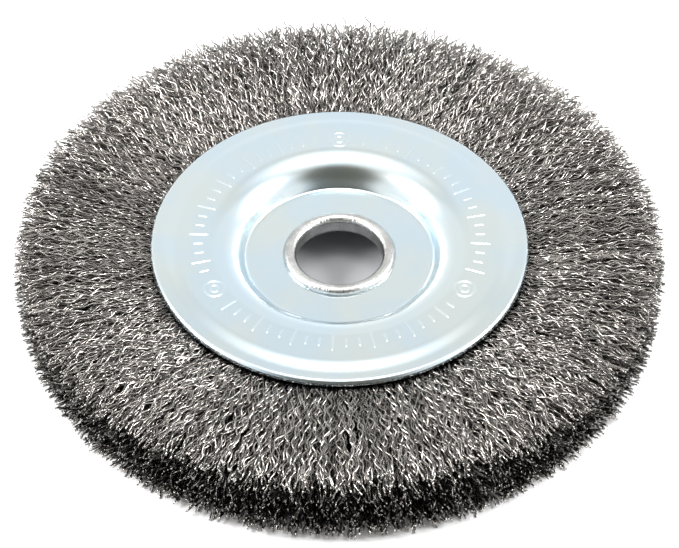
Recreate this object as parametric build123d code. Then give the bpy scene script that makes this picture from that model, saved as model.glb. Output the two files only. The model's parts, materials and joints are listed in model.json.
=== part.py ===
from build123d import *
import os

# A crimped wire wheel brush, lying flat. The arbor axis is +Z and the origin is the wheel's
# centre: on the arbor axis, halfway between the two side plates. All lengths are millimetres.

# driving dimensions
wheel_radius = 75.0
bore_radius = 10.05
plate_edge_radius = 43.6
bundle_count = 36

# side plates, pressed from one thickness of sheet; both floors meet at the wheel's middle plane
sheet = 1.0
plate_hole_radius = 11.0
floor_edge_radius = 21.7
shoulder_radius = 25.2
step_start_radius = 37.9
step_end_radius = 40.3
rim_bend_radius = 43.0
annulus_height = 7.0
step_end_height = 6.5
rim_bend_height = 6.4
edge_height = 5.4
floor_corner = 0.9
shoulder_corner = 8.0
step_corner = 9.0
edge_corner = 0.9

# arbor eyelet, a tube rolled over onto the floor of each plate
eyelet_clearance = 0.05
bore_half_length = 1.0
curl_radius = 13.1
curl_crest_radius = 11.6
curl_height = 1.5
bead_seat_radius = 13.2  # the clamp face starts here, just outside the bead

# core ring, a hoop of round wire that the brush wires are folded around
core_radius = 31.5
core_wire_radius = 2.0
core_clearance = 0.05

# wire fill: half its thickness at the fold, the plate's edge, the belly and the tips
fold_half = 5.8
throat_radius = 43.4
throat_half = 4.6
belly_radius = 67.0
belly_half = 9.8
tip_half = 7.6
throat_corner = 5.0
belly_corner = 10.0
tip_corner = 1.5
bundle_gap = 0.06  # degrees between neighbouring bundles


def side_plate():
    """The front plate: flat floor, steep wall, round shoulder, annulus, low step and edge."""
    outside = FilletPolyline(
        (plate_hole_radius, sheet),
        (bead_seat_radius, sheet),
        (floor_edge_radius, sheet),
        (shoulder_radius, annulus_height),
        (step_start_radius, annulus_height),
        (step_end_radius, step_end_height),
        (rim_bend_radius, rim_bend_height),
        (plate_edge_radius, edge_height),
        radius=[0, floor_corner, shoulder_corner, step_corner, step_corner, edge_corner],
    )
    section = outside.wire().offset_2d(sheet, side=Side.RIGHT, closed=True)
    # not cleaned, so that the clamp face stays apart from the bead's seat, which it is level with
    return revolve(Plane.XZ * Face(section), Axis.Z, clean=False)


def arbor_eyelet():
    """The tube through both floors, with a bead rolled over at each end."""
    tube_radius = plate_hole_radius - eyelet_clearance
    crest = sheet + curl_height
    upper_bead = ThreePointArc(
        (bore_radius, bore_half_length), (curl_crest_radius, crest), (curl_radius, sheet)
    )
    lower_bead = ThreePointArc(
        (curl_radius, -sheet), (curl_crest_radius, -crest), (bore_radius, -bore_half_length)
    )
    neck = Polyline(
        (curl_radius, sheet), (tube_radius, sheet), (tube_radius, -sheet), (curl_radius, -sheet)
    )
    bore = Line((bore_radius, -bore_half_length), (bore_radius, bore_half_length))
    section = make_face([upper_bead.edge(), *neck.edges(), lower_bead.edge(), bore.edge()])
    return revolve(Plane.XZ * section, Axis.Z)


def core_ring():
    """The closed hoop inside the wheel."""
    return Torus(core_radius, core_wire_radius)


def wire_bundle():
    """One wedge of the fill, folded round the core ring, with the ring's channel cut out."""
    upper = FilletPolyline(
        (core_radius, fold_half),
        (step_start_radius, fold_half),
        (throat_radius, throat_half),
        (belly_radius, belly_half),
        (wheel_radius, tip_half),
        (wheel_radius, 0),
        radius=[throat_corner, throat_corner, belly_corner, tip_corner],
    )
    lower = mirror(upper, Plane.XZ)
    fold = ThreePointArc(
        (core_radius, -fold_half), (core_radius - fold_half, 0), (core_radius, fold_half)
    )
    outline = make_face([*upper.edges(), *lower.edges(), fold.edge()])
    channel = Pos(core_radius, 0) * Circle(core_wire_radius + core_clearance)
    wedge = 360 / bundle_count - bundle_gap
    return revolve(Plane.XZ * (outline - channel), Axis.Z, revolution_arc=wedge)


os.makedirs("parts", exist_ok=True)

plate = side_plate()
export_step(plate, "parts/front_side_plate.step")
export_step(mirror(plate, Plane.XY), "parts/rear_side_plate.step")
export_step(arbor_eyelet(), "parts/arbor_eyelet.step")
export_step(core_ring(), "parts/core_ring.step")

bundle = wire_bundle()
for number in range(bundle_count):
    turn = 360 / bundle_count * number
    export_step(Rot(0, 0, turn) * bundle, f"parts/wire_bundle_{number + 1:02d}.step")
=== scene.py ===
import json
import math
import bpy
import numpy as np
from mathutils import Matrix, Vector


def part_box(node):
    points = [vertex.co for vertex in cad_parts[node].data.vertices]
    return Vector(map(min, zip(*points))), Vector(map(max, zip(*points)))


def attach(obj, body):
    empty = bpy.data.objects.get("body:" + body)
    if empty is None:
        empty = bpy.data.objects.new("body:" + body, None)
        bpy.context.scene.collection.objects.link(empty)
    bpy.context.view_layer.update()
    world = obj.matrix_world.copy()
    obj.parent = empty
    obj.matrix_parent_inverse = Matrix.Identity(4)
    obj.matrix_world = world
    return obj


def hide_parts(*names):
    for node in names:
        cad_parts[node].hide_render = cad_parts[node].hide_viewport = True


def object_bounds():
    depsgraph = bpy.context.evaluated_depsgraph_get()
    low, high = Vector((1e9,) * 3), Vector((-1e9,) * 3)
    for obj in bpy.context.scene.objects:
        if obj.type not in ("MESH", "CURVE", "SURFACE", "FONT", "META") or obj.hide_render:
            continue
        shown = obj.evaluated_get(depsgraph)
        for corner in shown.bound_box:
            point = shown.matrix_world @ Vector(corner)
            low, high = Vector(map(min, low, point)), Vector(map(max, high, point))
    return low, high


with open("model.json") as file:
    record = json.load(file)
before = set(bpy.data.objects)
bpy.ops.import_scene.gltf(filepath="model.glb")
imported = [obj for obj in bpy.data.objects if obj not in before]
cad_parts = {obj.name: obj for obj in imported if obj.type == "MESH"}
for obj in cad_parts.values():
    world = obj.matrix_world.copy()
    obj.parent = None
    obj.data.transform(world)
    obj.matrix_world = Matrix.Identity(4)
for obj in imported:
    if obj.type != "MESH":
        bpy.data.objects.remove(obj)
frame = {"nodes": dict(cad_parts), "record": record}
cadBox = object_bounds()

# Sizes that the pieces share, in metres. The wheel lies flat and its arbor axis is Z.
mm = 0.001
wheelRadius = cadBox[1].x
floorHeight = cadBox[0].z
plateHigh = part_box("front_side_plate")[1]
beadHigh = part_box("arbor_eyelet")[1]
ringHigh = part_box("core_ring")[1]
coreWireRadius = ringHigh.z
coreRadius = ringHigh.x - coreWireRadius
mounts = {mount["name"]: mount for mount in frame["record"]["mounts"]}
boreRadius = mounts["arbor_bore"]["dims"]["r_mm"] * mm
boreHalf = mounts["arbor_bore"]["dims"]["length_mm"] * mm / 2
dishFloor = mounts["front_clamp_face"]["pos_m"][2]
bundleNodes = sorted(name for name in frame["nodes"] if name.startswith("wire_bundle_"))

viewSet = {
    "elevation": 46.5,     # degrees above the floor
    "distance": 0.510,     # metres from the wheel's centre
    "lens": 116.7,
    "sensorWidth": 36.0,
    "shiftUp": -0.0243,
    "nearClip": 0.01,
}

lightSet = {
    "exposure": 0.45,
    "worldStrength": 1.25,
    "heightShades": [  # sine of a direction's elevation, and how bright the room is there
        (0.00, (1.0, 1.0, 1.0, 1)),
        (0.20, (0.80, 0.80, 0.80, 1)),
        (0.45, (0.70, 0.70, 0.70, 1)),
        (0.66, (0.70, 0.70, 0.70, 1)),
        (0.72, (0.75, 0.75, 0.74, 1)),
        (0.76, (0.56, 0.55, 0.525, 1)),
        (0.83, (0.60, 0.58, 0.55, 1)),
        (0.92, (0.90, 0.90, 0.90, 1)),
        (1.00, (0.85, 0.85, 0.85, 1)),
    ],
    "viewerSide": (0.0, -0.85, 0.53),      # the dark part of the room, behind the viewer
    "viewerShades": [  # closeness to the viewer's side, and how bright the room is there
        (0.00, (1.0, 1.0, 1.0, 1)),
        (0.76, (0.95, 0.95, 0.95, 1)),
        (0.83, (0.50, 0.50, 0.48, 1)),
        (0.89, (0.19, 0.18, 0.155, 1)),
        (0.98, (0.14, 0.132, 0.11, 1)),
    ],
    "softboxes": [     # name, place, size, watts
        ("overheadSoftbox", (0.03, 0.06, 0.87), (0.40, 0.28), 2.0),
        ("leftSoftbox", (-0.64, -0.05, 0.48), (0.30, 0.26), 7.0),
        ("rightSoftbox", (0.66, -0.02, 0.46), (0.30, 0.26), 6.6),
    ],
}


def addCamera():
    tilt = math.radians(viewSet["elevation"])
    data = bpy.data.cameras.new("camera")
    data.lens = viewSet["lens"]
    data.sensor_width = viewSet["sensorWidth"]
    data.shift_y = viewSet["shiftUp"]
    data.clip_start = viewSet["nearClip"]
    camera = bpy.data.objects.new("camera", data)
    bpy.context.scene.collection.objects.link(camera)
    reach = viewSet["distance"]
    camera.location = (0, -reach * math.cos(tilt), reach * math.sin(tilt))
    camera.rotation_euler = (math.pi / 2 - tilt, 0, 0)
    bpy.context.scene.camera = camera


def addSoftbox(name, place, size, watts):
    data = bpy.data.lights.new(name, "AREA")
    data.shape = "RECTANGLE"
    data.size, data.size_y = size
    data.energy = watts
    light = bpy.data.objects.new(name, data)
    bpy.context.scene.collection.objects.link(light)
    light.location = place
    light.rotation_euler = (-Vector(place)).to_track_quat("-Z", "Y").to_euler()


def addNode(tree, kind, settings=None, values=None):
    # settings are the node's own properties, values its unlinked sockets
    node = tree.nodes.new(kind)
    for key, value in (settings or {}).items():
        setattr(node, key, value)
    for key, value in (values or {}).items():
        node.inputs[key].default_value = value
    return node


def shadeRamp(tree, shades):
    # the first shade is the one at 0, where the ramp already has a stop
    ramp = addNode(tree, "ShaderNodeValToRGB")
    stops = ramp.color_ramp.elements
    stops.remove(stops[1])
    for place, color in shades:
        stop = stops[0] if place == 0 else stops.new(place)
        stop.color = color
    return ramp


def addRoom():
    # a white room, brightest at the horizon and dark behind the viewer
    world = bpy.data.worlds.new("whiteRoom")
    bpy.context.scene.world = world
    world.use_nodes = True
    tree = world.node_tree
    tree.nodes.clear()
    coords = addNode(tree, "ShaderNodeTexCoord")
    split = addNode(tree, "ShaderNodeSeparateXYZ")
    side = addNode(tree, "ShaderNodeVectorMath", {"operation": "DOT_PRODUCT"})
    side.inputs[1].default_value = lightSet["viewerSide"]
    byHeight = shadeRamp(tree, lightSet["heightShades"])
    byViewer = shadeRamp(tree, lightSet["viewerShades"])
    both = addNode(tree, "ShaderNodeMix", {"data_type": "RGBA", "blend_type": "MULTIPLY"}, {0: 1.0})
    sky = addNode(tree, "ShaderNodeBackground", values={"Strength": lightSet["worldStrength"]})
    out = addNode(tree, "ShaderNodeOutputWorld")
    tree.links.new(coords.outputs["Generated"], split.inputs["Vector"])
    tree.links.new(split.outputs["Z"], byHeight.inputs["Fac"])
    tree.links.new(coords.outputs["Generated"], side.inputs[0])
    tree.links.new(side.outputs["Value"], byViewer.inputs["Fac"])
    tree.links.new(byHeight.outputs["Color"], both.inputs[6])
    tree.links.new(byViewer.outputs["Color"], both.inputs[7])
    tree.links.new(both.outputs[2], sky.inputs["Color"])
    tree.links.new(sky.outputs["Background"], out.inputs["Surface"])


addCamera()
addRoom()
for softbox in lightSet["softboxes"]:
    addSoftbox(*softbox)
bpy.context.scene.view_settings.view_transform = "Standard"
bpy.context.scene.view_settings.exposure = lightSet["exposure"]
print("camera and lights are ready")


# Node groups that more than one metal uses.

def newGroup(name, inputs, outputs):
    tree = bpy.data.node_groups.new(name, "ShaderNodeTree")
    for label, kind, value in inputs:
        socket = tree.interface.new_socket(name=label, in_out="INPUT", socket_type=kind)
        socket.default_value = value
    for label, kind in outputs:
        tree.interface.new_socket(name=label, in_out="OUTPUT", socket_type=kind)
    return tree, addNode(tree, "NodeGroupInput"), addNode(tree, "NodeGroupOutput")


def patchyTone():
    # soft patches of a second colour over a first
    tree, start, end = newGroup("patchyTone", [
        ("Color", "NodeSocketColor", (0.5, 0.5, 0.5, 1)),
        ("Patch Color", "NodeSocketColor", (0.4, 0.4, 0.4, 1)),
        ("Scale", "NodeSocketFloat", 60.0),
        ("Amount", "NodeSocketFloat", 0.5),
    ], [("Color", "NodeSocketColor")])
    coords = addNode(tree, "ShaderNodeTexCoord")
    noise = addNode(tree, "ShaderNodeTexNoise", values={"Detail": 4.0, "Roughness": 0.55})
    spread = addNode(tree, "ShaderNodeMapRange", {"interpolation_type": "SMOOTHSTEP"},
                     {"From Min": 0.38, "From Max": 0.66})
    share = addNode(tree, "ShaderNodeMath", {"operation": "MULTIPLY"})
    mix = addNode(tree, "ShaderNodeMix", {"data_type": "RGBA"})
    tree.links.new(coords.outputs["Object"], noise.inputs["Vector"])
    tree.links.new(start.outputs["Scale"], noise.inputs["Scale"])
    tree.links.new(noise.outputs["Fac"], spread.inputs["Value"])
    tree.links.new(spread.outputs["Result"], share.inputs[0])
    tree.links.new(start.outputs["Amount"], share.inputs[1])
    tree.links.new(share.outputs["Value"], mix.inputs[0])
    tree.links.new(start.outputs["Color"], mix.inputs[6])
    tree.links.new(start.outputs["Patch Color"], mix.inputs[7])
    tree.links.new(mix.outputs[2], end.inputs["Color"])
    return tree


def handlingMarks():
    # scratches and fine grain: a roughness that varies, and a height for bump
    scratchShare = 0.5      # how much a scratch counts beside the grain
    tree, start, end = newGroup("handlingMarks", [
        ("Roughness", "NodeSocketFloat", 0.3),
        ("Spread", "NodeSocketFloat", 0.1),
        ("Grain Scale", "NodeSocketFloat", 2500.0),
        ("Scratch Scale", "NodeSocketFloat", 260.0),
    ], [("Roughness", "NodeSocketFloat"), ("Height", "NodeSocketFloat")])
    coords = addNode(tree, "ShaderNodeTexCoord")
    grain = addNode(tree, "ShaderNodeTexNoise", values={"Detail": 3.0, "Roughness": 0.6})
    # noise that is drawn out one way, of which only the highest part counts, makes scratches
    warp = addNode(tree, "ShaderNodeMapping", values={"Rotation": (0, 0, 0.6), "Scale": (1, 14, 3)})
    scratch = addNode(tree, "ShaderNodeTexNoise", values={"Detail": 2.0, "Roughness": 0.5})
    line = addNode(tree, "ShaderNodeMapRange", values={"From Min": 0.62, "From Max": 0.72})
    blend = addNode(tree, "ShaderNodeMath", {"operation": "MULTIPLY_ADD"}, {1: scratchShare})
    centred = addNode(tree, "ShaderNodeMath", {"operation": "SUBTRACT"}, {1: 0.5})
    rough = addNode(tree, "ShaderNodeMath", {"operation": "MULTIPLY_ADD", "use_clamp": True})
    tree.links.new(coords.outputs["Object"], grain.inputs["Vector"])
    tree.links.new(start.outputs["Grain Scale"], grain.inputs["Scale"])
    tree.links.new(coords.outputs["Object"], warp.inputs["Vector"])
    tree.links.new(warp.outputs["Vector"], scratch.inputs["Vector"])
    tree.links.new(start.outputs["Scratch Scale"], scratch.inputs["Scale"])
    tree.links.new(scratch.outputs["Fac"], line.inputs["Value"])
    tree.links.new(line.outputs["Result"], blend.inputs[0])
    tree.links.new(grain.outputs["Fac"], blend.inputs[2])
    tree.links.new(blend.outputs["Value"], centred.inputs[0])
    tree.links.new(centred.outputs["Value"], rough.inputs[0])
    tree.links.new(start.outputs["Spread"], rough.inputs[1])
    tree.links.new(start.outputs["Roughness"], rough.inputs[2])
    tree.links.new(rough.outputs["Value"], end.inputs["Roughness"])
    tree.links.new(blend.outputs["Value"], end.inputs["Height"])
    return tree


def aroundAxis():
    # noise laid out round the arbor axis: Streaks is how often it changes on the way round,
    # Rings how often it changes on the way out
    tree, start, end = newGroup("aroundAxis", [
        ("Streaks", "NodeSocketFloat", 40.0),
        ("Rings", "NodeSocketFloat", 300.0),
    ], [("Value", "NodeSocketFloat")])
    coords = addNode(tree, "ShaderNodeTexCoord")
    flat = addNode(tree, "ShaderNodeVectorMath", {"operation": "MULTIPLY"})
    flat.inputs[1].default_value = (1, 1, 0)
    unit = addNode(tree, "ShaderNodeVectorMath", {"operation": "NORMALIZE"})
    turn = addNode(tree, "ShaderNodeVectorMath", {"operation": "SCALE"})
    length = addNode(tree, "ShaderNodeVectorMath", {"operation": "LENGTH"})
    ring = addNode(tree, "ShaderNodeMath", {"operation": "MULTIPLY"})
    depth = addNode(tree, "ShaderNodeCombineXYZ")
    joined = addNode(tree, "ShaderNodeVectorMath", {"operation": "ADD"})
    noise = addNode(tree, "ShaderNodeTexNoise", values={"Scale": 1.0, "Detail": 3.0})
    tree.links.new(coords.outputs["Object"], flat.inputs[0])
    tree.links.new(flat.outputs["Vector"], unit.inputs[0])
    tree.links.new(unit.outputs["Vector"], turn.inputs[0])
    tree.links.new(start.outputs["Streaks"], turn.inputs["Scale"])
    tree.links.new(flat.outputs["Vector"], length.inputs[0])
    tree.links.new(length.outputs["Value"], ring.inputs[0])
    tree.links.new(start.outputs["Rings"], ring.inputs[1])
    tree.links.new(ring.outputs["Value"], depth.inputs["Z"])
    tree.links.new(turn.outputs["Vector"], joined.inputs[0])
    tree.links.new(depth.outputs["Vector"], joined.inputs[1])
    tree.links.new(joined.outputs["Vector"], noise.inputs["Vector"])
    tree.links.new(noise.outputs["Fac"], end.inputs["Value"])
    return tree


groups = {"patchyTone": patchyTone(), "handlingMarks": handlingMarks(), "aroundAxis": aroundAxis()}


def useGroup(tree, name, values):
    node = addNode(tree, "ShaderNodeGroup", {"node_tree": groups[name]}, values)
    node.label = name
    return node


def newMaterial(name, metallic=1.0):
    material = bpy.data.materials.new(name)
    material.use_nodes = True
    tree = material.node_tree
    shader = tree.nodes["Principled BSDF"]
    shader.inputs["Metallic"].default_value = metallic
    return material, tree, shader


def addFinish(tree, shader, look):
    # the two groups that every metal here has; the colour is left for the caller to link
    tone = useGroup(tree, "patchyTone", {
        "Color": look["color"], "Patch Color": look["patch"],
        "Scale": look["patchScale"], "Amount": look["patchAmount"]})
    marks = useGroup(tree, "handlingMarks", {
        "Roughness": look["roughness"], "Spread": look["spread"]})
    tree.links.new(marks.outputs["Roughness"], shader.inputs["Roughness"])
    return tone, marks


def streakedMetal(name, look):
    # a metal whose bump is its handling marks and streaks round the arbor axis
    material, tree, shader = newMaterial(name)
    tone, marks = addFinish(tree, shader, look)
    streaks = useGroup(tree, "aroundAxis", {"Streaks": look["streaks"], "Rings": look["rings"]})
    height = addNode(tree, "ShaderNodeMath", {"operation": "MULTIPLY_ADD"}, {1: look["streakShare"]})
    bump = addNode(tree, "ShaderNodeBump", values={
        "Strength": look["bump"], "Distance": look["bumpDepth"]})
    tree.links.new(tone.outputs["Color"], shader.inputs["Base Color"])
    tree.links.new(streaks.outputs["Value"], height.inputs[0])
    tree.links.new(marks.outputs["Height"], height.inputs[2])
    tree.links.new(height.outputs["Value"], bump.inputs["Height"])
    tree.links.new(bump.outputs["Normal"], shader.inputs["Normal"])
    return material


zincLook = {
    "color": (0.55, 0.655, 0.725, 1),
    "patch": (0.61, 0.66, 0.645, 1),
    "patchScale": 52.0,
    "patchAmount": 0.75,
    "roughness": 0.21,
    "spread": 0.04,
    "streaks": 46.0,
    "rings": 170.0,
    "streakShare": 0.5,
    "bump": 0.4,
    "bumpDepth": 0.006 * mm,
}


def zincMaterial():
    # bright zinc plating over pressed sheet, with faint streaks where the dish was drawn
    return streakedMetal("brightZincPlate", zincLook)


eyeletLook = {
    "color": (0.50, 0.505, 0.50, 1),
    "patch": (0.34, 0.335, 0.32, 1),
    "patchScale": 300.0,
    "patchAmount": 0.6,
    "roughness": 0.30,
    "spread": 0.22,
    "streaks": 26.0,
    "rings": 60.0,
    "streakShare": 3.0,
    "bump": 0.8,
    "bumpDepth": 0.05 * mm,
}


def eyeletMaterial():
    # rolled tube, scuffed, with drawn streaks along its bore and across its beads
    return streakedMetal("rolledEyeletSteel", eyeletLook)


wireLook = {
    "color": (0.37, 0.352, 0.332, 1),
    "patch": (0.135, 0.127, 0.119, 1),
    "patchScale": 420.0,
    "patchAmount": 0.7,
    "paintedRootShade": 0.40,      # painted shade: how bright the wire is at the plate, against 1 further out
    "paintedShadeStart": 36 * mm,
    "paintedShadeEnd": 51 * mm,
    "roughness": 0.22,
    "spread": 0.20,
}


def wireMaterial():
    # drawn steel wire, darkened towards its root by painted shade, with a tone that differs from one
    # wire to the next
    material, tree, shader = newMaterial("crimpedSteelWire")
    tone = addFinish(tree, shader, wireLook)[0]
    coords = addNode(tree, "ShaderNodeTexCoord")
    flat = addNode(tree, "ShaderNodeVectorMath", {"operation": "MULTIPLY"})
    flat.inputs[1].default_value = (1, 1, 0)
    reach = addNode(tree, "ShaderNodeVectorMath", {"operation": "LENGTH"})
    # painted shade, darker towards the plates
    shade = addNode(tree, "ShaderNodeMapRange", {"interpolation_type": "SMOOTHSTEP"}, {
        "From Min": wireLook["paintedShadeStart"], "From Max": wireLook["paintedShadeEnd"],
        "To Min": wireLook["paintedRootShade"], "To Max": 1.0})
    # each wire's own tone, random from wire to wire, with the inner wires darker as painted shade
    own = addNode(tree, "ShaderNodeAttribute", {"attribute_name": "wireToneAndShade"})
    both = addNode(tree, "ShaderNodeMath", {"operation": "MULTIPLY"})
    scaled = addNode(tree, "ShaderNodeVectorMath", {"operation": "SCALE"})
    tree.links.new(coords.outputs["Object"], flat.inputs[0])
    tree.links.new(flat.outputs["Vector"], reach.inputs[0])
    tree.links.new(reach.outputs["Value"], shade.inputs["Value"])
    tree.links.new(shade.outputs["Result"], both.inputs[0])
    tree.links.new(own.outputs["Fac"], both.inputs[1])
    tree.links.new(tone.outputs["Color"], scaled.inputs[0])
    tree.links.new(both.outputs["Value"], scaled.inputs["Scale"])
    tree.links.new(scaled.outputs["Vector"], shader.inputs["Base Color"])
    return material


ringLook = {
    "color": (0.36, 0.35, 0.33, 1),
    "patch": (0.22, 0.20, 0.18, 1),
    "patchScale": 120.0,
    "patchAmount": 0.8,
    "roughness": 0.45,
    "spread": 0.2,
}


def ringMaterial():
    # dull drawn wire of the hidden hoop
    material, tree, shader = newMaterial("dullHoopSteel")
    tone = addFinish(tree, shader, ringLook)[0]
    tree.links.new(tone.outputs["Color"], shader.inputs["Base Color"])
    return material


floorLook = {
    "color": (0.76, 0.76, 0.765, 1),
    "paintedShadeColor": (0.40, 0.405, 0.42, 1),      # painted shade under the middle of the wheel
    "paintedShadeStart": 24 * mm,
    "paintedShadeEnd": 78 * mm,
    "roughness": 0.9,
    "glow": 0.02,              # a faint painted light of its own, outside the painted shade
    "size": 3.0,               # half the length of its sides
}


def floorMaterial():
    # matt white sheet, with painted shade under the middle of the wheel and a faint painted glow
    # outside it
    material, tree, shader = newMaterial("paleFloor", metallic=0.0)
    coords = addNode(tree, "ShaderNodeTexCoord")
    reach = addNode(tree, "ShaderNodeVectorMath", {"operation": "LENGTH"})
    # painted shade: the floor's colour darkens towards the wheel's middle, and glows faintly away
    # from it
    shade = addNode(tree, "ShaderNodeMapRange", {"interpolation_type": "SMOOTHSTEP"}, {
        "From Min": floorLook["paintedShadeStart"], "From Max": floorLook["paintedShadeEnd"]})
    tone = addNode(tree, "ShaderNodeMix", {"data_type": "RGBA"})
    tone.inputs[6].default_value = floorLook["paintedShadeColor"]
    tone.inputs[7].default_value = floorLook["color"]
    glow = addNode(tree, "ShaderNodeMath", {"operation": "MULTIPLY"}, {1: floorLook["glow"]})
    shader.inputs["Roughness"].default_value = floorLook["roughness"]
    shader.inputs["Emission Color"].default_value = floorLook["color"]
    tree.links.new(coords.outputs["Object"], reach.inputs[0])
    tree.links.new(reach.outputs["Value"], shade.inputs["Value"])
    tree.links.new(shade.outputs["Result"], tone.inputs[0])
    tree.links.new(tone.outputs[2], shader.inputs["Base Color"])
    tree.links.new(shade.outputs["Result"], glow.inputs[0])
    tree.links.new(glow.outputs["Value"], shader.inputs["Emission Strength"])
    return material


# Mesh helpers.

def meshObject(name, points, faces, material, loopUv=None, smooth=True):
    # points and faces are arrays; all faces have the same number of corners
    mesh = bpy.data.meshes.new(name)
    corners = faces.shape[1]
    mesh.vertices.add(len(points))
    mesh.vertices.foreach_set("co", points.astype(np.float32).ravel())
    mesh.loops.add(faces.size)
    mesh.loops.foreach_set("vertex_index", faces.astype(np.int32).ravel())
    mesh.polygons.add(len(faces))
    mesh.polygons.foreach_set("loop_start", np.arange(0, faces.size, corners, dtype=np.int32))
    mesh.polygons.foreach_set("use_smooth", np.full(len(faces), smooth))
    if loopUv is not None:
        layer = mesh.uv_layers.new(name="OFBake")
        layer.data.foreach_set("uv", loopUv.astype(np.float32).ravel())
    mesh.update(calc_edges=True)
    mesh.validate()
    mesh.materials.append(material)
    piece = bpy.data.objects.new(name, mesh)
    bpy.context.scene.collection.objects.link(piece)
    return piece


def roundedLine(corners, steps=8):
    # corners are (r, z, radius); each corner with a radius becomes an arc
    line = []
    for index, (r, z, radius) in enumerate(corners):
        here = np.array((r, z), float)
        if radius == 0 or index in (0, len(corners) - 1):
            line.append(here)
            continue
        back = np.array(corners[index - 1][:2]) - here
        ahead = np.array(corners[index + 1][:2]) - here
        back /= np.linalg.norm(back)
        ahead /= np.linalg.norm(ahead)
        half = math.acos(np.clip(back @ ahead, -1, 1)) / 2
        middle = (back + ahead) / np.linalg.norm(back + ahead)
        centre = here + middle * radius / math.sin(half)
        first = here + back * radius / math.tan(half) - centre
        last = here + ahead * radius / math.tan(half) - centre
        sweep = math.atan2(first[0] * last[1] - first[1] * last[0], first @ last)
        for angle in np.linspace(0, sweep, steps + 1):
            turn = np.array((
                (math.cos(angle), -math.sin(angle)),
                (math.sin(angle), math.cos(angle))))
            line.append(centre + turn @ first)
    return np.array(line)


def spreadLine(line, longest):
    # adds points so that no stretch is longer than this
    out = [line[0]]
    for a, b in zip(line[:-1], line[1:]):
        parts = max(1, math.ceil(np.linalg.norm(b - a) / longest))
        out += [a + (b - a) * part / parts for part in range(1, parts + 1)]
    return np.array(out)


def offsetLine(line, distance):
    # the same line, moved to its right by this much
    ahead = np.gradient(line, axis=0)
    ahead /= np.linalg.norm(ahead, axis=1)[:, None]
    return line + np.stack((ahead[:, 1], -ahead[:, 0]), axis=1) * distance


def turnRound(outline, steps):
    # a closed outline in r and z, turned about Z: points and quads
    angles = np.arange(steps) * 2 * math.pi / steps
    count = len(outline)
    r, z = outline[:, 0], outline[:, 1]
    points = np.stack((
        np.outer(np.cos(angles), r), np.outer(np.sin(angles), r), np.tile(z, (steps, 1))), axis=2)
    step, corner = np.meshgrid(np.arange(steps), np.arange(count), indexing="ij")
    nextStep, nextCorner = (step + 1) % steps, (corner + 1) % count
    faces = np.stack((
        step * count + corner, nextStep * count + corner,
        nextStep * count + nextCorner, step * count + nextCorner), axis=2)
    return points.reshape(-1, 3), faces.reshape(-1, 4)


def facingOut(points, faces):
    # flips the faces of a closed mesh whose signed volume is negative
    a, b, c = points[faces[:, 0]], points[faces[:, 1]], points[faces[:, 2]]
    d = points[faces[:, 3]]
    volume = np.einsum("ij,ij->i", a, np.cross(b, c)) + np.einsum("ij,ij->i", a, np.cross(c, d))
    return faces if volume.sum() > 0 else faces[:, ::-1]


# Side plates.

plateShape = {
    "sheet": 1.0 * mm,
    "holeRadius": 11.0 * mm,
    "floorEdge": 21.7 * mm,
    "shoulder": 25.2 * mm,
    "stepStart": 37.9 * mm,
    "stepEnd": 40.3 * mm,
    "rimBend": 43.0 * mm,
    "stepDrop": 0.5 * mm,
    "bendDrop": 0.6 * mm,
    "edgeDrop": 1.6 * mm,
    "floorCorner": 0.9 * mm,
    "shoulderCorner": 8.0 * mm,
    "stepCorner": 9.0 * mm,
    "edgeCorner": 1.05 * mm,
    "steps": 360,
    "longestStep": 0.6 * mm,
    "waviness": 0.035 * mm,
    "waves": ((3, 0.7, 0.5), (5, 2.1, 0.3), (8, 0.0, 0.2)),     # lobes, phase, share
    "waveRise": 10 * mm,       # how far outside the floor the waves reach their full height
}

markShape = {
    "middle": 32.4 * mm,       # radius of the ring of marks
    "longBar": 4.6 * mm,
    "shortBar": 2.4 * mm,
    "ringRadii": (2.3 * mm, 1.0 * mm),
    "halfWidth": 0.28 * mm,
    "height": 0.10 * mm,
    "thirds": 3,
    "firstRing": 90,           # degrees from +X
    "barsPerThird": 20,
    "barPitch": 5.2,           # degrees
    "longEvery": 3,            # one bar in three is a long one
    "barPoints": 15,
    "ringPoints": 40,
    "acrossPoints": 9,
}


def plateOutline():
    p = plateShape
    top = plateHigh.z
    face = roundedLine([
        (p["holeRadius"], dishFloor, 0),
        (p["floorEdge"], dishFloor, p["floorCorner"]),
        (p["shoulder"], top, p["shoulderCorner"]),
        (p["stepStart"], top, p["stepCorner"]),
        (p["stepEnd"], top - p["stepDrop"], p["stepCorner"]),
        (p["rimBend"], top - p["bendDrop"], p["edgeCorner"]),
        (plateHigh.x, top - p["edgeDrop"], 0),
    ])
    face = spreadLine(face, p["longestStep"])
    back = offsetLine(face, p["sheet"])
    return np.concatenate((face, back[::-1]))


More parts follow.
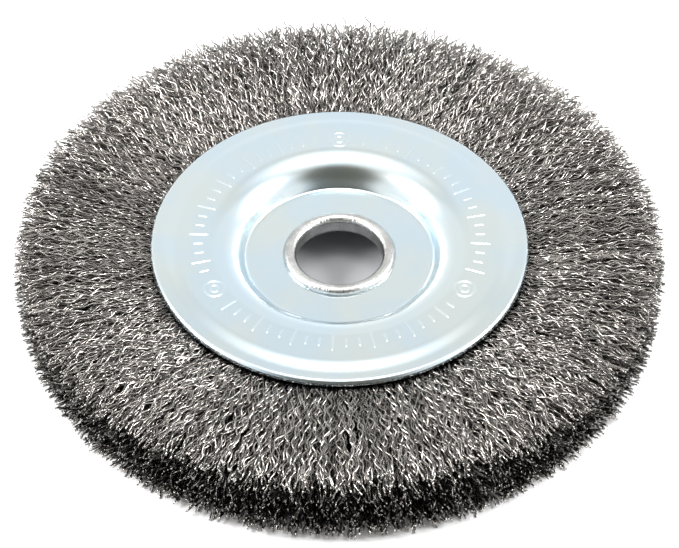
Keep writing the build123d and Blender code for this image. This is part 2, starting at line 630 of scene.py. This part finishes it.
def raisedStroke(path, closed=False):
    # a soft ridge along a path on the plate's annulus
    m = markShape
    across = np.linspace(-1, 1, m["acrossPoints"])
    if closed:
        ahead = np.roll(path, -1, axis=0) - np.roll(path, 1, axis=0)
    else:
        ahead = np.gradient(path, axis=0)
    ahead /= np.linalg.norm(ahead, axis=1)[:, None]
    side = np.stack((-ahead[:, 1], ahead[:, 0]), axis=1)
    rise = np.ones(len(path))
    if not closed:
        run = np.concatenate(((0,), np.cumsum(np.linalg.norm(np.diff(path, axis=0), axis=1))))
        nearEnd = np.minimum(run, run[-1] - run) / m["halfWidth"]
        rise = 0.5 - 0.5 * np.cos(math.pi * np.clip(nearEnd, 0, 1))
    ridge = 0.5 + 0.5 * np.cos(math.pi * across)
    flat = path[:, None, :] + side[:, None, :] * (across * m["halfWidth"])[None, :, None]
    height = plateHigh.z + m["height"] * rise[:, None] * ridge[None, :]
    points = np.concatenate((flat, height[:, :, None]), axis=2).reshape(-1, 3)
    rows = len(path) if closed else len(path) - 1
    row, col = np.meshgrid(np.arange(rows), np.arange(len(across) - 1), indexing="ij")
    nextRow = (row + 1) % len(path)
    wide = len(across)
    faces = np.stack((
        row * wide + col, nextRow * wide + col,
        nextRow * wide + col + 1, row * wide + col + 1), axis=2).reshape(-1, 4)
    return points, faces[:, ::-1]


def barPath(turn, length):
    m = markShape
    angle = math.radians(turn)
    reach = np.linspace(-length / 2, length / 2, m["barPoints"]) + m["middle"]
    return np.stack((reach * math.cos(angle), reach * math.sin(angle)), axis=1)


def ringPath(turn, radius):
    m = markShape
    angle = math.radians(turn)
    middle = np.array((math.cos(angle), math.sin(angle))) * m["middle"]
    around = np.arange(m["ringPoints"]) * 2 * math.pi / m["ringPoints"]
    return middle + radius * np.stack((np.cos(around), np.sin(around)), axis=1)


def plateMarks():
    # plain graduation bars, with a ring in a ring at each third of the turn
    m = markShape
    strokes = []
    third = 360 / m["thirds"]
    for number in range(m["thirds"]):
        start = third * number + m["firstRing"]
        strokes += [raisedStroke(ringPath(start, radius), closed=True) for radius in m["ringRadii"]]
        first = start + third / 2 - m["barPitch"] * (m["barsPerThird"] - 1) / 2
        for bar in range(m["barsPerThird"]):
            length = m["longBar"] if bar % m["longEvery"] == 0 else m["shortBar"]
            strokes.append(raisedStroke(barPath(first + bar * m["barPitch"], length)))
    return strokes


def joinMeshes(parts):
    # one mesh of several; each part is its points and its faces
    points, faces, start = [], [], 0
    for partPoints, partFaces in parts:
        points.append(partPoints)
        faces.append(partFaces + start)
        start += len(partPoints)
    return np.concatenate(points), np.concatenate(faces)


def wavy(points):
    # pressed sheet is never quite flat
    p = plateShape
    angle = np.arctan2(points[:, 1], points[:, 0])
    reach = np.hypot(points[:, 0], points[:, 1])
    share = np.clip((reach - p["floorEdge"]) / p["waveRise"], 0, 1)
    share = share * share * (3 - 2 * share)
    wave = sum(part * np.sin(lobes * angle + phase) for lobes, phase, part in p["waves"])
    points = points.copy()
    points[:, 2] += p["waviness"] * share * wave
    return points


def buildPlates():
    zinc = zincMaterial()
    points, faces = turnRound(plateOutline(), plateShape["steps"])
    body = (points, facingOut(points, faces))
    points, faces = joinMeshes([body] + plateMarks())
    points = wavy(points)
    front = meshObject("frontPlate", points, faces, zinc)
    # the rear plate is the same pressing, turned over about the X axis
    rear = meshObject("rearPlate", points * (1, -1, -1), faces, zinc)
    for piece, node in ((front, "front_side_plate"), (rear, "rear_side_plate")):
        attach(piece, "root")
        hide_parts(node)


buildPlates()
print("side plates are ready")


# Arbor eyelet.

eyeletShape = {
    "tube": 0.9 * mm,
    "crest": 11.6 * mm,        # radius of the bead's highest line
    "boreStop": 0.05 * mm,     # the bore's last points are this far before the bead's first
    "boreStep": 0.3 * mm,
    "seam": 0.1 * mm,          # the outside's two halves end this far from the middle plane
    "steps": 240,
    "lobes": 7,
    "unevenness": 0.05 * mm,
}


def arcThrough(first, middle, last, steps=20):
    # a round arc through three points in r and z
    a, b, c = (np.array(point, float) for point in (first, middle, last))
    rows = np.array((b - a, c - a)) * 2
    centre = np.linalg.solve(rows, (b @ b - a @ a, c @ c - a @ a))
    radius = np.linalg.norm(a - centre)
    start = math.atan2(*(a - centre)[::-1])
    end = math.atan2(*(c - centre)[::-1])
    via = math.atan2(*(b - centre)[::-1])
    while via > start:
        via -= 2 * math.pi
    while end > via:
        end -= 2 * math.pi
    angles = np.linspace(start, end, steps + 1)
    return centre + radius * np.stack((np.cos(angles), np.sin(angles)), axis=1)


def buildEyelet():
    e = eyeletShape
    bead = arcThrough(
        (boreRadius, boreHalf), (e["crest"], beadHigh.z), (beadHigh.x, dishFloor))
    tube = boreRadius + e["tube"]
    bore = np.array(((boreRadius, 0.0), (boreRadius, boreHalf - e["boreStop"])))
    neck = np.array(((tube, dishFloor), (tube, e["seam"])))
    upper = np.concatenate((spreadLine(bore, e["boreStep"]), bead, neck))
    lower = upper[::-1][:-1] * (1, -1)
    points, faces = turnRound(np.concatenate((upper, lower)), e["steps"])
    angle = np.arctan2(points[:, 1], points[:, 0])
    reach = np.hypot(points[:, 0], points[:, 1])
    outer = np.clip((reach - e["crest"]) / (beadHigh.x - e["crest"]), 0, 1)
    grow = 1 + e["unevenness"] * outer * np.sin(e["lobes"] * angle) / reach
    points[:, :2] *= grow[:, None]
    piece = meshObject("arborEyelet", points, facingOut(points, faces), eyeletMaterial())
    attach(piece, "root")
    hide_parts("arbor_eyelet")


buildEyelet()
print("eyelet is ready")


# Core ring, hidden between the plates: the CAD hoop stays and gets its finish.

ringObject = frame["nodes"]["core_ring"]
ringObject.data.materials.clear()
ringObject.data.materials.append(ringMaterial())
print("core ring is ready")


# Crimped wires. Each is one hairpin: out from the rim, round the core ring and back to the rim.

wireShape = {
    "seed": 41,
    "skin": {                  # wires near the two faces
        "count": 72,           # hairpins per bundle
        "radius": 0.185 * mm,
        "layers": (0.66, 1.0),         # share of the fill's half thickness
        "tones": (0.55, 1.20),         # how bright single wires are, differing at random; the skin wires stay brighter than the inner ones
        "fineFrom": 43.0 * mm,         # radius where the fine samples start
        "coarseSteps": 4,
        "samples": 46,
    },
    "inner": {                 # wires inside the fill, which only show at the rim
        "count": 66,
        "radius": 0.15 * mm,           # thinner, so that the rim looks as fine as it is
        "layers": (0.02, 0.70),
        # darker than the skin wires: painted shade deep inside the fill, with a random tone from
        # wire to wire
        "tones": (0.28, 0.62),
        "fineFrom": 64 * mm,
        "coarseSteps": 7,
        "samples": 22,
    },
    "sides": 4,                # four, so that a tube's end is one quad
    "foldHalf": 5.7 * mm,
    "foldSteps": 6,
    "profile": (               # radius and half thickness of the fill
        (31.5 * mm, 5.7 * mm), (37.6 * mm, 5.5 * mm), (42.8 * mm, 4.5 * mm),
        (46.0 * mm, 5.0 * mm), (56.0 * mm, 7.5 * mm), (64.0 * mm, 9.1 * mm),
        (69.0 * mm, 9.5 * mm), (75.0 * mm, 9.1 * mm)),
    "exit": 43.0 * mm,         # where the wires come out from under the plates
    "underLip": 4.75 * mm,     # they stay this near the middle plane until they are past the edge
    "lipReach": 1.5 * mm,
    "freeBefore": 3 * mm,      # their crimp starts this far inside the exit
    "freeOver": 4 * mm,        # and has its full height this much further out
    "crimpLength": 4.6 * mm,
    "crimpLengthSpread": 0.02,
    "crimpHeight": 0.46 * mm,
    "crimpHeightRange": (0.7, 1.25),
    "crimpSwings": ((7, 9), (17, 7)),      # lobes round the wheel, and their shift in radians
    "crimpDrift": 1.1,         # how far neighbouring crimps are out of step, in radians
    "crimpRoll": 0.9,          # how far a crimp's plane is tipped up or down, in radians
    "clumpWidth": 0.55 * mm,   # how far clumps of wires sway aside, and up and down
    "clumpHeight": 0.35 * mm,
    "clumpWaves": (            # lobes round the wheel, phase, drift in radians per metre outwards
        (67, 0.9, 520), (103, 2.3, -760), (41, 4.1, 330)),
    "clumpLayerShift": 1.7,    # how far they are out of step from layer to layer, in radians
    "clumpUpRate": 1.31,       # the sway up and down runs at another rate than the one aside
    "clumpUpPhase": 1.1,
    "wander": 0.28 * mm,       # a slow bend of each wire's own
    "wanderUp": 0.6,           # the share of it that goes up and down
    "wanderLength": 13 * mm,
    "wanderRange": (0.7, 1.4),
    "wanderTurn": 6.28,        # it starts anywhere in a turn, in radians
    "lean": 0.022,             # slope of a wire to one side
    "legShift": 0.03,          # how far a hairpin's two legs are out of line, in bundle widths
    "tipCalm": 0.55,           # how much straighter the wires are at their tips
    "tipSplay": 0.70 * mm,     # how far the tips spread from each other
    "tipScatter": 2.0 * mm,
    "tipDrop": 2.2 * mm,       # how much shorter the outermost layers are
    "strayShare": 0.05,
    "straySpread": 1.7 * mm,
    "calmUp": 0.35 * mm,       # how far the other wires stand up and aside
    "calmAside": 0.5 * mm,
}


def stepsOut(tips, kind):
    # radii of one leg's points: coarse steps where the wire is hidden, fine ones to its tip
    coarse = np.linspace(coreRadius, kind["fineFrom"], kind["coarseSteps"] + 1)[:-1]
    share = np.linspace(0, 1, kind["samples"])
    fine = kind["fineFrom"] + (tips - kind["fineFrom"])[:, None] * share[None, :]
    return np.concatenate((np.tile(coarse, (len(tips), 1)), fine), axis=1)


def tipMoves(rng, count):
    # how far each tip stands up and aside: a little for most wires, much for a few strays
    w = wireShape
    stray = rng.random(count) < w["strayShare"]
    up = np.where(
        stray, rng.normal(0, w["straySpread"], count), rng.normal(0, w["calmUp"], count))
    aside = np.where(
        stray, rng.normal(0, w["straySpread"], count), rng.normal(0, w["calmAside"], count))
    return up[:, None], aside[:, None]


def crimpWave(rng, turns, radii, out, free):
    # the crimp's height along each wire, and the roll of its plane
    w = wireShape
    count = len(turns)
    pitch = w["crimpLength"] * rng.normal(1, w["crimpLengthSpread"], count)
    phase = sum(swing * np.sin(lobes * turns) for lobes, swing in w["crimpSwings"])
    phase = phase + rng.normal(0, w["crimpDrift"], count)
    roll = rng.uniform(-w["crimpRoll"], w["crimpRoll"], count)
    height = w["crimpHeight"] * rng.uniform(*w["crimpHeightRange"], count)
    wave = np.sin(2 * math.pi * radii / pitch[:, None] + phase[:, None])
    wave *= height[:, None] * free * (1 - w["tipCalm"] * out ** 6)
    return wave, roll[:, None]


def addClumps(aside, up, turns, layers, radii, grown):
    # neighbouring wires lean together, with gaps between one clump and the next
    w = wireShape
    for lobes, phase, drift in w["clumpWaves"]:
        swirl = lobes * turns[:, None] + phase + drift * radii
        swirl += w["clumpLayerShift"] * layers[:, None]
        upSwirl = swirl * w["clumpUpRate"] + w["clumpUpPhase"]
        aside += w["clumpWidth"] / 2 * grown * np.sin(swirl)
        up += w["clumpHeight"] / 2 * grown * np.sin(upSwirl) * np.abs(layers)[:, None]


def addWander(rng, aside, up, radii, grown):
    # each wire also bends slowly on its own
    w = wireShape
    count = len(radii)
    stretch = rng.uniform(*w["wanderRange"], count)[:, None]
    drifting = 2 * math.pi * radii / w["wanderLength"] / stretch
    asidePhase = rng.uniform(0, w["wanderTurn"], count)[:, None]
    upPhase = rng.uniform(0, w["wanderTurn"], count)[:, None]
    aside += w["wander"] * grown * np.sin(drifting + asidePhase)
    up += w["wander"] * w["wanderUp"] * grown * np.cos(drifting + upPhase)


def legPath(rng, turns, layers, kind):
    # points of one leg per wire, from the core ring to its tip; out is 0 at the exit and 1 at the
    # rim, and its powers keep a move near the tips
    w = wireShape
    count = len(turns)
    tips = wheelRadius - np.abs(rng.normal(0, w["tipScatter"], count))
    tips -= w["tipDrop"] * np.abs(layers) ** 5
    radii = stepsOut(tips, kind)
    profile = np.array(w["profile"])
    half = np.interp(radii, profile[:, 0], profile[:, 1])
    out = np.clip((radii - w["exit"]) / (wheelRadius - w["exit"]), 0, 1)
    free = np.clip((radii - w["exit"] + w["freeBefore"]) / w["freeOver"], 0, 1)
    grown = np.sqrt(out)

    tipUp, tipAside = tipMoves(rng, count)
    wave, roll = crimpWave(rng, turns, radii, out, free)
    aside = wave * np.cos(roll) + tipAside * out ** 2
    up = wave * np.sin(roll) + tipUp * out ** 2
    addClumps(aside, up, turns, layers, radii, grown)
    addWander(rng, aside, up, radii, grown)
    aside += w["lean"] * rng.normal(0, 1, count)[:, None] * (radii - w["exit"]) * free
    aside += w["tipSplay"] * rng.normal(0, 1, count)[:, None] * out ** 5
    up += w["tipSplay"] * rng.normal(0, 1, count)[:, None] * out ** 5

    angle = turns[:, None] + aside / radii
    z = layers[:, None] * half + up
    covered = radii < w["exit"] + w["lipReach"]
    z = np.where(covered, np.clip(z, -w["underLip"], w["underLip"]), z)
    z = np.maximum(z, floorHeight + w["skin"]["radius"])
    return np.stack((radii * np.cos(angle), radii * np.sin(angle), z), axis=2)


def hairpins(rng, firstTurn, sweep, kind):
    # whole wires: leg, fold round the core ring, leg
    w = wireShape
    count = kind["count"]
    turns = firstTurn + sweep * (np.arange(count) + rng.random(count)) / count
    layers = rng.uniform(*kind["layers"], count)
    upper = legPath(rng, turns, layers, kind)
    lower = legPath(rng, turns + rng.normal(0, w["legShift"], count) * sweep, -layers, kind)
    gap = coreWireRadius + w["skin"]["radius"]
    reach = gap + (w["foldHalf"] - gap) * layers
    bend = np.linspace(math.pi / 2, 3 * math.pi / 2, w["foldSteps"] + 1)[1:-1]
    r = coreRadius + np.outer(reach, np.cos(bend))
    z = np.outer(reach, np.sin(bend))
    fold = np.stack((r * np.cos(turns)[:, None], r * np.sin(turns)[:, None], z), axis=2)
    return np.concatenate((upper[:, ::-1], fold, lower), axis=1), turns


# The bake map: each wire has one strip along the map's width, with its two ends beyond the strip.
bakeMap = {
    "wallStart": 0.01,
    "wallLength": 0.96,
    "wallMargin": 0.1,
    "endStart": 0.98,
    "endLength": 0.01,
    "endMargin": 0.3,
}


def wireTubes(paths, turns, radius):
    # a tube round every path, with a flat cut at both ends
    sides = wireShape["sides"]
    count, samples = paths.shape[:2]
    ahead = np.gradient(paths, axis=1)
    ahead /= np.linalg.norm(ahead, axis=2, keepdims=True)
    across = np.stack((-np.sin(turns), np.cos(turns), np.zeros(count)), axis=1)[:, None, :]
    across = across - ahead * np.sum(across * ahead, axis=2, keepdims=True)
    across /= np.linalg.norm(across, axis=2, keepdims=True)
    third = np.cross(ahead, across)
    angles = (np.arange(sides) + 0.5) * 2 * math.pi / sides
    points = paths[:, :, None, :] + radius * (
        across[:, :, None, :] * np.cos(angles)[None, None, :, None]
        + third[:, :, None, :] * np.sin(angles)[None, None, :, None])

    wire, sample, side = np.meshgrid(
        np.arange(count), np.arange(samples - 1), np.arange(sides), indexing="ij")
    nextSide = (side + 1) % sides
    base = wire * samples * sides
    here, there = base + sample * sides, base + (sample + 1) * sides
    walls = np.stack((here + side, there + side, there + nextSide, here + nextSide), axis=3)
    start = (np.arange(count) * samples * sides)[:, None]
    end = start + (samples - 1) * sides
    ends = np.concatenate((start + np.arange(sides)[None, :], end + np.arange(sides)[None, ::-1]))

    b = bakeMap
    along = np.stack((sample, sample + 1, sample + 1, sample), axis=3) / (samples - 1)
    about = np.stack((side, side, side + 1, side + 1), axis=3) / sides
    strip = (wire[..., None] + b["wallMargin"] + (1 - 2 * b["wallMargin"]) * about) / count
    wallUv = np.stack((b["wallStart"] + b["wallLength"] * along, strip), axis=4).reshape(-1, 4, 2)
    row = np.tile(np.arange(count), 2)[:, None] + b["endMargin"]
    endUv = np.zeros((len(ends), 4, 2))
    endUv[:, :, 0] = b["endStart"] + b["endLength"] * np.array((0, 1, 1, 0))
    endUv[:, :, 1] = (row + (1 - 2 * b["endMargin"]) * np.array((0, 0, 1, 1))) / count
    return points.reshape(-1, 3), walls.reshape(-1, 4), ends, wallUv, endUv


def buildBundle(index, node, material):
    w = wireShape
    rng = np.random.default_rng(w["seed"] + index)
    sweep = 2 * math.pi / len(bundleNodes)
    points, walls, ends, wallUv, endUv, tones, start = [], [], [], [], [], [], 0
    for number, kind in enumerate((w["skin"], w["inner"])):
        paths, turns = hairpins(rng, sweep * index, sweep, kind)
        tube, wall, end, wallMap, endMap = wireTubes(paths, turns, kind["radius"])
        # the skin wires take the lower half of the bake map, the inner ones the upper half
        wallMap[:, :, 1] = (wallMap[:, :, 1] + number) / 2
        endMap[:, :, 1] = (endMap[:, :, 1] + number) / 2
        # random tone from wire to wire; the inner wires' lower range is painted shade
        tone = rng.uniform(*kind["tones"], kind["count"])
        points.append(tube)
        walls.append(wall + start)
        ends.append(end + start)
        wallUv.append(wallMap)
        endUv.append(endMap)
        tones.append(np.repeat(tone, len(tube) // kind["count"]))
        start += len(tube)
    faces = np.concatenate(walls + ends)
    piece = meshObject(
        f"wireBundle{index + 1:02d}", np.concatenate(points), faces, material,
        loopUv=np.concatenate(wallUv + endUv))
    smooth = np.ones(len(faces), bool)
    smooth[-sum(len(end) for end in ends):] = False
    piece.data.polygons.foreach_set("use_smooth", smooth)
    tone = piece.data.attributes.new("wireToneAndShade", "FLOAT", "POINT")
    tone.data.foreach_set("value", np.concatenate(tones).astype(np.float32))
    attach(piece, "root")
    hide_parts(node)
    return len(faces)


wireSteel = wireMaterial()
faceTotal = sum(buildBundle(index, node, wireSteel) for index, node in enumerate(bundleNodes))
print(f"{len(bundleNodes)} wire bundles are ready, {faceTotal} faces")


# Pale floor, just under the wires.

corners = np.array(((-1, -1, 0), (1, -1, 0), (1, 1, 0), (-1, 1, 0)), float) * floorLook["size"]
corners[:, 2] = floorHeight
paleFloor = meshObject(
    "paleFloor", corners, np.array(((0, 1, 2, 3),)), floorMaterial(), smooth=False)
